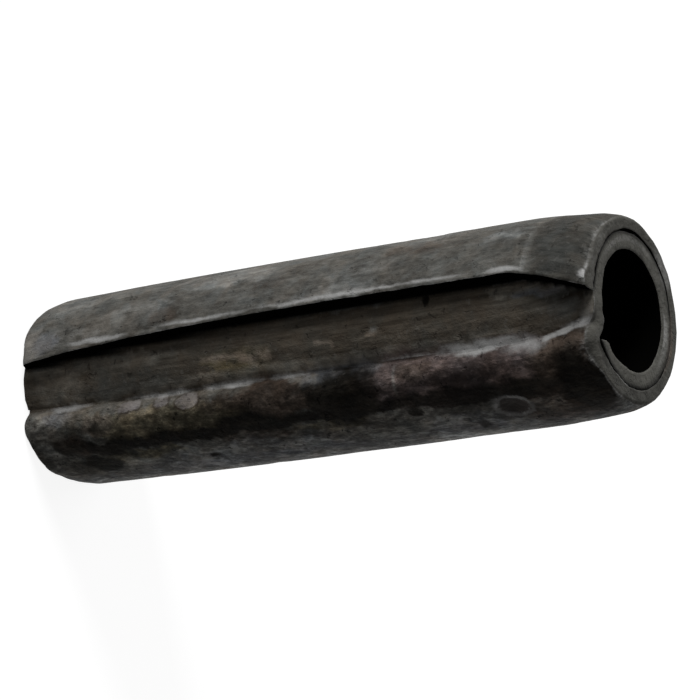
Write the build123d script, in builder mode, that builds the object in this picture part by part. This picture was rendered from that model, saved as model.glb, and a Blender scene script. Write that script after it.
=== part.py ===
"""Coiled spring pin: one strip of spring steel rolled into a tube of nearly two turns.

The strip starts inside as the bore wall, steps out over its own first edge in a short S-bend
(the joggle) and goes round again as the outer layer, which stops short of the joggle. That leaves
an open seam along the whole pin. Towards both ends the coil is squeezed to a smaller radius, and
because the strip keeps its width, it winds further round there and the seam closes up. Dies round
the outside of the two ends, so that the pin finds its hole.

The pin stands on its bottom end. The origin is on the pin's axis in the plane of that end.
Millimetres and degrees throughout. Angles are azimuths: 0 is +X and 90 is +Y.
"""

import os
from math import acos, cos, degrees, radians, sin

from build123d import *

# Overall size, with the coil at rest outside its hole.
pin_length = 35.0
outer_diameter = 10.5

# The strip and how it is rolled.
strip_thickness = 0.9
strip_edge_radius = 0.12
layer_clearance = 0.06
joggle_inside_radius = 0.2
seam_opening = 53.0  # from the outer cut edge to the top of the joggle
seam_azimuth = -45.0  # middle of that opening, clear of the X and Y axes
inner_edge_lead = 4.0  # from the top of the joggle to the inner cut edge, where the coil is tightest

# How the coil tightens towards its ends.
top_tightening_length = 4.2
top_squeeze = 0.33
bottom_tightening_length = 10.0
bottom_squeeze = 0.17
tightening_power = 1.5
tightening_stations = 5
joggle_share = 0.3  # share of the seam's closing that the joggle's side takes up

# What the dies leave of the outside at each end.
top_swage_length = 3.2
top_swage_drop = 0.5
bottom_swage_length = 3.2
bottom_swage_drop = 0.43
rim_radius = 0.25

# What follows from the sizes above.
outer_radius = outer_diameter / 2
outer_layer_radius = outer_radius - strip_thickness / 2
inner_layer_radius = outer_layer_radius - strip_thickness - layer_clearance
bend_radius = joggle_inside_radius + strip_thickness / 2
tightest_squeeze = max(top_squeeze, bottom_squeeze)
joggle_top_azimuth = seam_azimuth + seam_opening / 2
body_foot = bottom_tightening_length
body_head = pin_length - top_tightening_length


def triangle_angle(side, other_side, opposite):
    """Angle between two sides of a triangle, from the lengths of its three sides."""
    return degrees(acos((side**2 + other_side**2 - opposite**2) / (2 * side * other_side)))


def joggle_angles(inner, outer):
    """Sweep of the joggle about the pin's axis, and how far its foot and its top bend.

    The joggle is two arcs of one bend radius, tangent to each other and to the layers they join.
    Their centres and the pin's axis are the corners of a triangle.
    """
    foot_side = inner + bend_radius
    top_side = outer - bend_radius
    sweep = triangle_angle(foot_side, top_side, 2 * bend_radius)
    foot_turn = triangle_angle(foot_side, 2 * bend_radius, top_side)
    return sweep, foot_turn, foot_turn + sweep


def polar(radius, angle):
    """Point at a radius and an azimuth."""
    return (radius * cos(radians(angle)), radius * sin(radians(angle)))


# Each layer keeps its width of strip all along the pin. The outer one leaves the seam open in the
# body, and the inner one clears the joggle where the coil is tightest.
tightest_inner = inner_layer_radius - tightest_squeeze
tightest_joggle = joggle_angles(tightest_inner, outer_layer_radius - tightest_squeeze)[0]
outer_layer_width = radians(360 - seam_opening) * outer_layer_radius
inner_layer_width = radians(360 - tightest_joggle - inner_edge_lead) * tightest_inner


def coil_section(height, squeeze):
    """The rolled strip cut square across, where the coil is squeezed in by that much."""
    inner = inner_layer_radius - squeeze
    outer = outer_layer_radius - squeeze
    half = strip_thickness / 2
    joggle_sweep, foot_turn, top_turn = joggle_angles(inner, outer)
    inner_sweep = degrees(inner_layer_width / inner)
    outer_sweep = degrees(outer_layer_width / outer)
    seam_closing = outer_sweep + seam_opening - 360

    # The two ends of the joggle and of the strip.
    top_angle = joggle_top_azimuth - joggle_share * seam_closing
    foot_angle = top_angle - joggle_sweep
    outer_edge = top_angle + outer_sweep
    inner_edge = foot_angle - inner_sweep
    foot_centre = polar(inner + bend_radius, foot_angle)
    top_centre = polar(outer - bend_radius, top_angle)
    outer_corners = [polar(outer - half, outer_edge), polar(outer + half, outer_edge)]
    inner_corners = [polar(inner + half, inner_edge), polar(inner - half, inner_edge)]

    with BuildSketch(Plane.XY.offset(height)) as section:
        with BuildLine():
            # The bore's side, from the inner cut edge to the outer one.
            CenterArc((0, 0), inner - half, inner_edge, inner_sweep)
            CenterArc(foot_centre, bend_radius + half, foot_angle + 180, -foot_turn)
            CenterArc(top_centre, bend_radius - half, top_angle - top_turn, top_turn)
            CenterArc((0, 0), outer - half, top_angle, outer_sweep)
            Line(outer_corners)
            # The outside, all the way back.
            CenterArc((0, 0), outer + half, outer_edge, -outer_sweep)
            CenterArc(top_centre, bend_radius + half, top_angle, -top_turn)
            CenterArc(foot_centre, bend_radius - half, foot_angle + 180 - foot_turn, foot_turn)
            CenterArc((0, 0), inner + half, foot_angle, -inner_sweep)
            Line(inner_corners)
        make_face()
        # The strip's edges are rolled round before it is coiled.
        for corner in outer_corners + inner_corners:
            fillet(section.vertices().sort_by_distance(corner)[0], strip_edge_radius)
    return section.sketch


def tightening_sections(body_end, pin_end, squeeze):
    """Sections from one end of the straight body to the pin's end, each tighter than the last."""
    sections = []
    for station in range(tightening_stations + 1):
        share = station / tightening_stations
        height = body_end + share * (pin_end - body_end)
        sections.append(coil_section(height, squeeze * share**tightening_power))
    return sections


# The room inside the dies: a cylinder with each end drawn in on an arc and a rounded rim.
with BuildPart() as die_room:
    with BuildSketch(Plane.XZ) as half_profile:
        with BuildLine():
            bottom_rim = (outer_radius - bottom_swage_drop, 0)
            top_rim = (outer_radius - top_swage_drop, pin_length)
            swage_foot = (outer_radius, bottom_swage_length)
            swage_head = (outer_radius, pin_length - top_swage_length)
            Polyline(bottom_rim, (0, 0), (0, pin_length), top_rim)
            TangentArc(swage_head, top_rim, tangent=(0, 1))
            Line(swage_head, swage_foot)
            TangentArc(swage_foot, bottom_rim, tangent=(0, -1))
        make_face()
        for rim in (bottom_rim, top_rim):
            fillet(half_profile.vertices().sort_by_distance(rim)[0], rim_radius)
    revolve(axis=Axis.Z)

with BuildPart() as coiled_pin:
    # The body has the same section all the way.
    add(coil_section(body_foot, 0))
    extrude(amount=body_head - body_foot)
    # The coil tightens towards each end.
    loft(tightening_sections(body_foot, 0, bottom_squeeze))
    loft(tightening_sections(body_head, pin_length, top_squeeze))
    # The dies round the outside.
    add(die_room.part, mode=Mode.INTERSECT)

coiled_pin.part.label = "coiled_pin"
os.makedirs("parts", exist_ok=True)
export_step(coiled_pin.part, "parts/coiled_pin.step")
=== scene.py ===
"""Rolls a strip of spring steel into a coiled pin, gives it its worn oxide finish, with some light and shade
painted into it, and sets a stage.

A flat bar stands for the strip. Geometry Nodes roll it up: in as the bore wall, out over its own
first edge in an S-bend (the joggle) and round again as the outer layer, which stops short of the
joggle and leaves an open seam. The coil tightens towards both ends. Lengths are in metres and
angles in radians, unless a name says otherwise. MM turns millimetres into metres.
"""

from math import acos, cos, pi, radians, sin
from types import SimpleNamespace

import bpy
import numpy as np
from mathutils import Matrix, Vector


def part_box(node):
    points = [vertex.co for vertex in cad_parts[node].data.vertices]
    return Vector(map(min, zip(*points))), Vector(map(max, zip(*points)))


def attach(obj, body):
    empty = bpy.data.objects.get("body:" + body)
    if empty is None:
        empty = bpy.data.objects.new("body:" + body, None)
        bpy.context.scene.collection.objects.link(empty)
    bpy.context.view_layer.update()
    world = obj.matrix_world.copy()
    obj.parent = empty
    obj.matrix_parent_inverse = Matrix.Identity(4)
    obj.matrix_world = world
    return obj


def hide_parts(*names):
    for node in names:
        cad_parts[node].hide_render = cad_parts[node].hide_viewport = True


bl_info = {
    "name": "Coiled Spring Pin",
    "version": (1, 0, 0),
    "blender": (4, 5, 0),
    "location": "View3D > Sidebar > Coiled Pin",
    "description": "Rolls a strip of spring steel into a coiled pin and sets its stage",
    "category": "Add Mesh",
}

MM = 0.001
NODE = "coiled_pin"

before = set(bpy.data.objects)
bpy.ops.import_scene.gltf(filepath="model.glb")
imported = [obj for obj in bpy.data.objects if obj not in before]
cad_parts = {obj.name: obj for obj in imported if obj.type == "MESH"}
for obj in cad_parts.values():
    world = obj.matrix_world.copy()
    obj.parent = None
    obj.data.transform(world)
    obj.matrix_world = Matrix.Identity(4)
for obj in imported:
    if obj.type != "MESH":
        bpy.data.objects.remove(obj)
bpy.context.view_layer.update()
low_corner, high_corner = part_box(NODE)
FRAME_LENGTH = high_corner.z - low_corner.z
FRAME_RADIUS = (high_corner.x - low_corner.x) / 2


# ---- Sizes and colours that a user would change ----


def number_property(name, description, number, **kind):
    return bpy.props.FloatProperty(name=name, description=description, default=number, **kind)


def length_property(name, description, millimetres):
    return number_property(name, description, millimetres * MM, unit="LENGTH", precision=5)


def angle_property(name, description, in_degrees):
    return number_property(name, description, radians(in_degrees), subtype="ANGLE", unit="ROTATION")


def share_property(name, description, share):
    return number_property(name, description, share, subtype="FACTOR", min=0, max=1)


def colour_property(name, description, colour):
    return bpy.props.FloatVectorProperty(
        name=name, description=description, default=colour, subtype="COLOR", size=3, min=0, max=1
    )


class CoilSizes(bpy.types.PropertyGroup):
    """The strip, and how it is rolled."""

    length: length_property("Length", "From end face to end face", FRAME_LENGTH / MM)
    radius: length_property("Radius", "Outside radius of the straight body", FRAME_RADIUS / MM)
    thickness: length_property("Thickness", "Thickness of the strip", 0.9)
    clearance: length_property("Clearance", "Between the two layers", 0.06)
    seated: length_property("Seated clearance", "Between the layers where they are pressed together", 0.02)
    bend: length_property("Bend radius", "Centreline radius of the joggle's two bends", 0.65)
    seam: angle_property("Seam", "From the outer cut edge to the top of the joggle", 57.4)
    seam_azimuth: angle_property("Seam azimuth", "Middle of the seam", -41.8)
    inner_lead: angle_property("Inner edge lead", "From the joggle's top to the inner cut edge", 3)
    joggle_share: share_property("Joggle share", "Part of the seam's closing on the joggle's side", 0.36)
    bottom_share: share_property("Bottom joggle share", "The same part at the bottom", 0.12)
    edge: length_property("Edge radius", "Rounding of the strip's edges", 0.13)
    rim: length_property("Rim radius", "Rounding of the outer rim of each end", 0.24)
    top_tight: length_property("Top tightening", "Height over which the coil tightens at the top", 4.6)
    top_squeeze: length_property("Top squeeze", "How far the coil is squeezed in at the top", 0.335)
    bottom_tight: length_property("Bottom tightening", "The same height at the bottom", 22)
    bottom_squeeze: length_property("Bottom squeeze", "How far it is squeezed in at the bottom", 0.165)
    top_power: number_property("Top tightening power", "Shape of the tightening at the top", 1.4)
    bottom_power: number_property("Bottom tightening power", "Shape of it at the bottom", 2.6)
    top_swage: length_property("Top swage", "Height that the die draws in at the top", 3.2)
    top_drop: length_property("Top swage drop", "How far the die draws the top rim in", 0.5)
    bottom_swage: length_property("Bottom swage", "Height that the die draws in at the bottom", 3.2)
    bottom_drop: length_property("Bottom swage drop", "How far the die draws the bottom rim in", 0.43)
    lip_gap: length_property("Lip gap", "Between the outer lip and the layer under it", 0.2)
    parting: length_property("Parting", "How far the layers part at the top end", 0.16)
    part_azimuth: angle_property("Parting azimuth", "Where the layers part at the top end", -160)
    bevel: length_property("Bevel", "Extra rounding of the top rim by the outer lip and the crest", 0.3)
    uneven_die: share_property("Uneven die", "How much less the seam's side is drawn in at the ends", 0.55)


class CoilFinish(bpy.types.PropertyGroup):
    """Colours of the steel and its oxide, and the black that paints shade."""

    oxide_dark: colour_property("Dark oxide", "Where the oxide is thick", (0.049, 0.047, 0.042))
    oxide_light: colour_property("Light oxide", "Where the oxide is rubbed thin", (0.152, 0.150, 0.139))
    umber_dark: colour_property("Dark umber", "Dirt in the seam, where it is thick", (0.040, 0.033, 0.026))
    umber_light: colour_property("Light umber", "Dirt in the seam, where it is thin", (0.110, 0.098, 0.080))
    bare_steel: colour_property("Bare steel", "Worn edges", (0.30, 0.30, 0.296))
    sheared_steel: colour_property("Sheared steel", "The cut ends of the strip", (0.125, 0.123, 0.110))
    # The black that stands in for shade: in the bore, on the cut edges, between the layers and under the
    # outer lip.
    painted_shade: colour_property("Painted shade", "Inside the bore and in the seam", (0.0015, 0.0015, 0.0013))


class StageSettings(bpy.types.PropertyGroup):
    """Floor, lamps and camera."""

    floor: colour_property("Floor", "Colour of the floor", (0.3, 0.3, 0.3))
    key_strength: number_property("Key strength", "Level of the key lamp at the pin", 0.92)
    rim_strength: number_property("Rim strength", "Level of the lamp behind the pin", 0.3)
    world_strength: number_property("World strength", "Level of the even light from all round", 0.18)
    distance: length_property("Camera distance", "From the pin's centre", 175.4)
    tip: angle_property("Camera tip", "Height of the camera above the pin's waist", 31.84)
    azimuth: angle_property("Camera azimuth", "Where the camera stands round the pin", -39)
    roll: angle_property("Camera roll", "Slope of the pin in the picture", 8.53)
    lens: number_property("Lens", "Focal length of the camera in millimetres", 172.7)


# ---- Formulas made of nodes ----


def feed(socket, value):
    """Gives a node's input a plain value, or the output of another node."""
    if isinstance(value, Field):
        socket.id_data.links.new(value.socket, socket)
    else:
        socket.default_value = value


def feed_all(node, inputs):
    """Feeds a node's inputs, given by name or by number."""
    for name, value in dict(inputs).items():
        feed(node.inputs[name], value)


def add_node(tree, kind, inputs=(), **settings):
    """Adds a node, sets it and then feeds its inputs."""
    node = tree.nodes.new(kind)
    for name, value in settings.items():
        setattr(node, name, value)
    feed_all(node, inputs)
    return node


class Field:
    """A number that nodes work out, so that a rule can be written as a formula."""

    def __init__(self, socket):
        self.socket = socket
        self.tree = socket.id_data

    def math(self, operation, *others):
        return calculate(self.tree, operation, self, *others)

    def __add__(self, other):
        return self.math("ADD", other)

    def __sub__(self, other):
        return self.math("SUBTRACT", other)

    def __rsub__(self, other):
        return calculate(self.tree, "SUBTRACT", other, self)

    def __mul__(self, other):
        return self.math("MULTIPLY", other)

    def __truediv__(self, other):
        return self.math("DIVIDE", other)

    def __rtruediv__(self, other):
        return calculate(self.tree, "DIVIDE", other, self)

    def __pow__(self, other):
        return self.math("POWER", other)

    def __rpow__(self, other):
        return calculate(self.tree, "POWER", other, self)

    def __lt__(self, other):
        return self.math("LESS_THAN", other)

    def __gt__(self, other):
        return self.math("GREATER_THAN", other)

    __radd__ = __add__
    __rmul__ = __mul__


def calculate(tree, operation, *values):
    node = add_node(tree, "ShaderNodeMath", enumerate(values), operation=operation)
    return Field(node.outputs["Value"])


def least(value, other):
    return value.math("MINIMUM", other)


def most(value, other):
    return value.math("MAXIMUM", other)


def unit(value):
    """The value kept between 0 and 1."""
    return least(most(value, 0.0), 1.0)


def absolute(value):
    return value.math("ABSOLUTE")


def sine(angle):
    return angle.math("SINE")


def cosine(angle):
    return angle.math("COSINE")


def ramp(value, start, stop):
    """0 before start and 1 after stop, with a smooth rise between them."""
    inputs = {"Value": value, "From Min": start, "From Max": stop}
    node = add_node(value.tree, "ShaderNodeMapRange", inputs, interpolation_type="SMOOTHSTEP")
    return Field(node.outputs["Result"])


def mix(value, other, share):
    return share * (other - value) + value


def vector(x, y, z):
    tree = next(value.tree for value in (x, y, z) if isinstance(value, Field))
    return Field(add_node(tree, "ShaderNodeCombineXYZ", enumerate((x, y, z))).outputs["Vector"])


def parts_of(whole):
    node = add_node(whole.tree, "ShaderNodeSeparateXYZ", {"Vector": whole})
    return [Field(output) for output in node.outputs]


def noise(place, scale, detail=2.0, roughness=0.5, seed=0.0, distortion=0.0):
    """Soft noise from 0 to 1. The seed is the fourth coordinate."""
    inputs = {"Vector": place, "W": seed, "Scale": scale}
    inputs.update({"Detail": detail, "Roughness": roughness, "Distortion": distortion})
    return Field(add_node(place.tree, "ShaderNodeTexNoise", inputs, noise_dimensions="4D").outputs["Fac"])


def noise_vector(place, scale, seed, spread):
    """A random shift that varies smoothly from place to place."""
    colour = Field(noise(place, scale, 3.0, 0.6, seed).socket.node.outputs["Color"])
    return scale_vector(add_vectors(colour, (-0.5, -0.5, -0.5)), spread)


def vector_math(operation, whole, slot, value):
    inputs = {0: whole, slot: value}
    return Field(add_node(whole.tree, "ShaderNodeVectorMath", inputs, operation=operation).outputs["Vector"])


def scale_vector(whole, factor):
    return vector_math("SCALE", whole, "Scale", factor)


def add_vectors(whole, other):
    return vector_math("ADD", whole, 1, other)


def triangle_angle(side, other_side, opposite):
    """Angle between two sides of a triangle, as a formula of nodes."""
    difference = side * side + other_side * other_side - opposite * opposite
    return (difference / (side * other_side * 2)).math("ARCCOSINE")


# ---- The coil, made by Geometry Nodes ----

# Rows of points on the bar, in order across, along and through it.
EDGE_ROWS = 5
HIDDEN_ROWS = 38
SEAM_ROWS = 20
FOOT_ROWS = 7
TOP_ROWS = 9
LOWER_ROWS = 42
FAR_ROWS = 26
UPPER_ROWS = 40
END_ROWS = 6
BODY_ROWS = 228
FACE_ROWS = 3
CORE_ROWS = 2

INNER_ROWS = EDGE_ROWS + HIDDEN_ROWS + SEAM_ROWS + FOOT_ROWS + TOP_ROWS
ACROSS_ROWS = INNER_ROWS + LOWER_ROWS + FAR_ROWS + UPPER_ROWS + EDGE_ROWS
ALONG_ROWS = END_ROWS + BODY_ROWS + END_ROWS
THROUGH_ROWS = FACE_ROWS + CORE_ROWS + FACE_ROWS

# Lengths of the bar's stretches with their own rows.
FINE_SPAN = 0.3 * MM
SEAM_SPAN = 5.0 * MM

# Wear of the strip, and where the joggle's crest lies on it, measured from the joggle's foot.
BORE_SHIFT = 0.1 * MM
BORE_SHIFT_AZIMUTH = radians(-19)
UNEVENNESS = 0.16 * MM
CUT_WOBBLE = 0.22 * MM
END_DIPS = 0.35 * MM
CORNER_WEAR = 0.38 * MM
CREST_WEAR = 0.45 * MM
CREST_FACE_WEAR = 0.1 * MM
CREST_BEVEL = 1.6
CREST_PLACE = 1.25 * MM
EDGE_THINNING = 0.22 * MM

# How far round from the seam's middle the die draws the strip in least, at the top and the bottom.
TOP_DIE_LEAN = 0.3
BOTTOM_DIE_LEAN = 0.44

# The shares of their rounding and of their clearance that the ends lose between the layers.
END_SHARPNESS = 0.85
END_SEATING = 0.85

# How far the painted shadow of the outer lip reaches out from under it, near the bottom and higher up.
SHADOW_REACH_LOW = 0.17 * MM
SHADOW_REACH_HIGH = 0.12 * MM

# Typical turns of the joggle's two bends. They set how the rows are shared out, not the shape.
FOOT_TURN = radians(66.7)
TOP_TURN = radians(83.4)

LENGTH_INPUTS = (
    "length radius thickness clearance seated bend edge rim top_tight top_squeeze bottom_tight "
    "bottom_squeeze top_swage top_drop bottom_swage bottom_drop lip_gap parting bevel outer_width "
    "inner_width"
).split()
OTHER_INPUTS = (
    "seam seam_azimuth joggle_share bottom_share top_power bottom_power part_azimuth uneven_die"
).split()


def reached(rows_done, stretches):
    """How far a row of points lies, through stretches that each have (rows, span)."""
    total = 0.0
    start = 0
    for rows, span in stretches:
        total = unit((rows_done - start) / rows) * span + total
        start += rows
    return total


def strip_widths(coil):
    """Widths of strip in the outer and the inner layer. The inner one clears the joggle at the top."""
    outer = coil.radius - coil.thickness / 2
    inner = outer - coil.thickness - coil.clearance
    tight_foot = inner - coil.top_squeeze + coil.bend
    tight_top = outer - coil.top_squeeze - coil.bend
    across_axis = tight_foot**2 + tight_top**2 - (2 * coil.bend) ** 2
    tight_joggle = acos(across_axis / (2 * tight_foot * tight_top))
    outer_width = (2 * pi - coil.seam) * outer
    inner_width = (2 * pi - tight_joggle - coil.inner_lead) * (inner - coil.top_squeeze)
    return outer_width, inner_width


def add_inputs(tree):
    """Named inputs for the coil's sizes. Returns their fields."""
    tree.interface.new_socket(name="Geometry", in_out="OUTPUT", socket_type="NodeSocketGeometry")
    for name in LENGTH_INPUTS + OTHER_INPUTS:
        socket = tree.interface.new_socket(name=name, in_out="INPUT", socket_type="NodeSocketFloat")
        if name in LENGTH_INPUTS:
            socket.subtype = "DISTANCE"
    inputs = tree.nodes.new("NodeGroupInput")
    return SimpleNamespace(**{name: Field(inputs.outputs[name]) for name in LENGTH_INPUTS + OTHER_INPUTS})


def from_crest(across, size):
    """How far a point of the strip lies from the crest of the joggle."""
    return absolute(across - size.inner_width - CREST_PLACE)


def round_edges(across, height, through, total_width, size):
    """Moves the bar's points in near its edges, so that every edge is rounded."""
    length, half = size.length, size.thickness / 2
    to_end = least(height, length - height)
    uneven = noise(vector(across, height, 0.0), 900.0, 3.0, 0.6, 3.0) * 1.3 + 0.35
    on_outer = across > size.inner_width
    outward = ramp(through, 0.0, half)
    near_end = ramp(to_end, 1.6 * MM, 0.9 * MM)
    # Between the layers the ends are left nearly sharp. The top is bevelled beside the outer lip
    # and at the crest of the joggle.
    between = on_outer * (1.0 - outward) + (1.0 - on_outer) * outward
    from_lip = total_width - across
    beside_lip = ramp(from_lip, 0.7 * MM, 1.6 * MM) * ramp(from_lip, 4.6 * MM, 3.4 * MM)
    at_crest = ramp(from_crest(across, size), 1.5 * MM, 0.4 * MM) * CREST_BEVEL
    bevelled = most(beside_lip, at_crest) * (height > length * 0.5) * size.bevel
    radius = mix(size.edge, size.rim + bevelled, on_outer * outward * near_end)
    radius = radius * (1.0 - between * near_end * END_SHARPNESS) * uneven
    rooms = (least(across, total_width - across), to_end, half - absolute(through))
    reaches = [most(radius - room, 0.0) for room in rooms]
    distance = sum(reach * reach for reach in reaches) ** 0.5
    moved = 1.0 - radius / most(distance, radius)
    worn = unit((sum(reaches) - radius) / radius)
    places = (across, height, through)
    middles = (total_width * 0.5, length * 0.5, 0.0)
    rounded = [
        place + reach * moved * (1.0 - (place > middle) * 2)
        for place, reach, middle in zip(places, reaches, middles)
    ]
    return *rounded, worn


def weather(across, height, through, total_width, size):
    """Makes the outer face, the cut edges and the ends uneven, and wears the corners."""
    length = size.length
    side = through / (size.thickness / 2)
    inward = unit(side * -1)
    place = vector(across, height * 0.5, 0.0)
    low = most(noise(place, 260.0, 1.0, 0.5, 11.0) - 0.45, 0.0) * UNEVENNESS
    small = most(noise(place, 1300.0, 2.0, 0.6, 12.0) - 0.5, 0.0) * UNEVENNESS
    through = through - (low + small) * unit(side)
    # The inside of the outer lip is lifted off the layer under it.
    under_lip = ramp(across, total_width - 1.3 * MM, total_width - 0.3 * MM)
    under_lip = under_lip * (1.0 - ramp(height, length - 4.5 * MM, length - 2 * MM) * 0.8)
    through = through + under_lip * inward * size.lip_gap
    # The inner cut slants, and the outer one wanders.
    slant = (side * 0.2 + 0.06) * ramp(across, 2.0 * MM, 0.0) * MM
    wobble = (noise(vector(0.0, height, 0.0), 420.0, 3.0, 0.6, 13.0) - 0.5) * CUT_WOBBLE
    wobble = wobble * ramp(across, total_width - 3.0 * MM, total_width)
    end_side = (height > length * 0.5) * 2 - 1
    near_end = ramp(least(height, length - height), 1.5 * MM, 0.1 * MM)
    dips = noise(vector(across, end_side, side * 0.4 * MM), 700.0, 4.0, 0.65, 16.0) - 0.4
    height = height - end_side * near_end * most(dips, 0.0) * END_DIPS
    # The outer lip's bottom corner is worn short, and so is the joggle's crest at the top end.
    corner = ramp(across, total_width - 2.2 * MM, total_width - 0.1 * MM) * ramp(height, 2.5 * MM, 0.0)
    height = height + corner * CORNER_WEAR
    crest = ramp(from_crest(across, size), 1.9 * MM, 0.3 * MM) * ramp(height, length - 2.0 * MM, length)
    height = height - crest * (unit(side) * CREST_WEAR + CREST_FACE_WEAR)
    # The inner cut edge is thinned at the top end.
    thinned = ramp(across, 2.6 * MM, 0.4 * MM) * ramp(height, length - 5 * MM, length - 1 * MM)
    through = through + thinned * inward * EDGE_THINNING
    return across - slant + wobble, height, through


def nearing(from_end, reach, power):
    """0 further than the reach from an end, rising to 1 at the end."""
    return unit((reach - from_end) / reach) ** power


def roll(across, height, through, size):
    """Place of a point of the flat strip once it is coiled: x and y.

    It also gives the share of outer layer and, on the inner one, the way from the lip over it.
    """
    length, half = size.length, size.thickness / 2
    outer = size.radius - half
    inner = outer - size.thickness - size.clearance

    # How tight the coil is at this height.
    from_top = length - height
    top = nearing(from_top, size.top_tight, size.top_power)
    bottom = nearing(height, size.bottom_tight, size.bottom_power)
    squeeze = top * size.top_squeeze + bottom * size.bottom_squeeze
    inner = inner - squeeze
    outer = outer - squeeze

    # The joggle's two bends. Their centres and the pin's axis make a triangle.
    bend = size.bend
    foot_side = inner + bend
    top_side = outer - bend
    joggle = triangle_angle(foot_side, top_side, bend * 2)
    foot_turn = triangle_angle(foot_side, bend * 2, top_side)
    top_turn = foot_turn + joggle
    outer_sweep = size.outer_width / outer
    closing = outer_sweep + size.seam - 2 * pi
    share = mix(size.bottom_share, size.joggle_share, ramp(height, length * 0.4, length * 0.8))
    top_angle = size.seam_azimuth + size.seam / 2 - closing * share
    foot_angle = top_angle - joggle
    inner_edge = foot_angle - size.inner_width / inner

    # Where the strip passes from one stretch to the next.
    foot_start = size.inner_width
    top_start = foot_start + bend * foot_turn
    outer_start = top_start + bend * top_turn
    on_inner = across < foot_start
    on_foot = (across < top_start) - on_inner
    on_top = (across < outer_start) - (across < top_start)
    on_outer = 1.0 - (across < outer_start)

    # Angle that the strip has reached, and its place between the two bends.
    inner_angle = inner_edge + across / inner
    foot_arm_angle = foot_angle + pi - (across - foot_start) / bend
    top_arm_angle = top_angle - top_turn + (across - top_start) / bend
    outer_angle = top_angle + (across - outer_start) / outer

    # The die thins the outer layer where it draws the ends in.
    seam_side = ramp(cosine(outer_angle - size.seam_azimuth - TOP_DIE_LEAN), 0.62, 0.9)
    top_drop = size.top_drop * (1.0 - seam_side * size.uneven_die)
    top_die = nearing(from_top, size.top_swage, 2) * top_drop
    crest_side = ramp(cosine(outer_angle - size.seam_azimuth - BOTTOM_DIE_LEAN), 0.72, 0.92)
    bottom_drop = size.bottom_drop * (1.0 - crest_side * size.uneven_die)
    bottom_die = nearing(height, size.bottom_swage, 2) * bottom_drop
    die_radius = size.radius - top_die - bottom_die
    room = least((die_radius - outer + half) / size.thickness, 1.0)
    under_die = ramp(across, top_start, outer_start)
    through = mix(through, (through + half) * room - half, under_die)

    # The layers are pressed together, except where they part at the top end.
    off_part = cosine(on_inner * inner_angle + on_outer * outer_angle - size.part_azimuth)
    parted = ramp(off_part, 0.80, 0.93) * ramp(height, length - 2.2 * MM, length)
    turn = vector(cosine(inner_angle + outer_angle * on_outer), on_outer, 0.0)
    loose = ramp(noise(turn, 2.5, 2.0, 0.5, 17.0), 0.56, 0.68)
    near_end = ramp(least(height, from_top), 1.2 * MM, 0.2 * MM)
    seated_gap = size.seated * (1.0 - near_end * (1.0 - loose) * END_SEATING)
    seated = size.clearance - seated_gap - parted * size.parting * 0.5
    outward = ramp(through, 0.0, half) * on_inner
    inward = ramp(through, 0.0, half * -1) * on_outer
    through = through + seated * outward + parted * inward * size.parting * 0.5

    # At the top end the bore is worn a little towards the seam.
    off_bore = cosine(inner_angle - BORE_SHIFT_AZIMUTH) * ramp(height, length - 4 * MM, length)
    through = through + off_bore * ramp(through, 0.0, half * -1) * on_inner * BORE_SHIFT

    centre_distance = on_foot * foot_side + on_top * top_side
    centre_angle = on_foot * foot_angle + on_top * top_angle
    inner_arm = on_inner * (inner + through) + on_foot * (bend - through)
    outer_arm = on_top * (bend + through) + on_outer * (outer + through)
    arm = inner_arm + outer_arm
    inner_arm_angle = on_inner * inner_angle + on_foot * foot_arm_angle
    arm_angle = inner_arm_angle + on_top * top_arm_angle + on_outer * outer_angle
    x = centre_distance * cosine(centre_angle) + arm * cosine(arm_angle)
    y = centre_distance * sine(centre_angle) + arm * sine(arm_angle)
    past_lip = (inner_angle - (top_angle + outer_sweep - 2 * pi)) * inner
    return x, y, ramp(across, foot_start, outer_start), most(past_lip, on_inner * -1 + 1.0)


def changed(geometry, kind, inputs=(), **settings):
    """Adds a Geometry Node that takes the geometry, and gives what comes out of it."""
    node = add_node(geometry.tree, "GeometryNode" + kind, inputs, **settings)
    feed(node.inputs[0], geometry)
    return Field(node.outputs[0])


def store(geometry, name, value, kind="FLOAT", domain="POINT"):
    """Keeps a field on the mesh as a named attribute."""
    inputs = {"Name": name, "Value": value}
    return changed(geometry, "StoreNamedAttribute", inputs, data_type=kind, domain=domain)


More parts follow.
